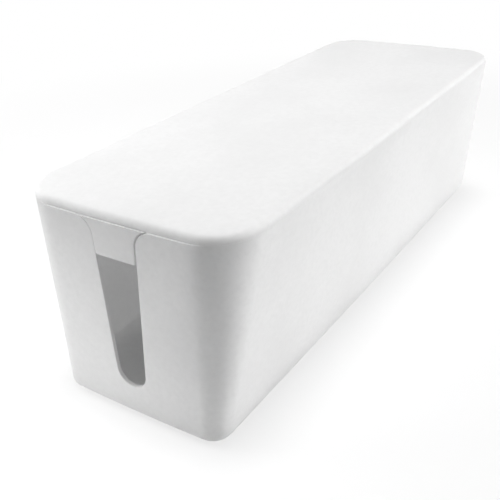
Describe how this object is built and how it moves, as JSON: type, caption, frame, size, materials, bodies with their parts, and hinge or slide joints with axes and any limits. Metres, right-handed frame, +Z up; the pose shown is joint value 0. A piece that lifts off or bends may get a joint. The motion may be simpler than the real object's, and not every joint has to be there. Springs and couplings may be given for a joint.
{
  "type": "cable management box",
  "caption": "Long tapered box with rounded corners that hides a power strip, with a lift-off lid and an open cable slot in each end.",
  "frame": {"origin": "on the surface that the box stands on, under the middle of the box", "axes": "+X along the box, +Y across it, +Z up; the front is the long side at -Y and the left end is at -X"},
  "size_m": [0.42, 0.152, 0.133],
  "materials": {
    "tub_plastic": "moulded white ABS with a fine satin grain",
    "lid_plastic": "moulded white ABS with a fine satin grain",
    "foot_rubber": "soft grey rubber, matt"
  },
  "bodies": {
    "box": {"box_body": "tub_plastic", "foot_front_left": "foot_rubber", "foot_front_right": "foot_rubber", "foot_rear_left": "foot_rubber", "foot_rear_right": "foot_rubber"},
    "lid": {"lid": "lid_plastic"}
  },
  "joints": [
    {"name": "lid_lift", "type": "slide", "parent": "box", "child": "lid", "axis": [0, 0, 1], "range_m": [0, 0.12]}
  ]
}
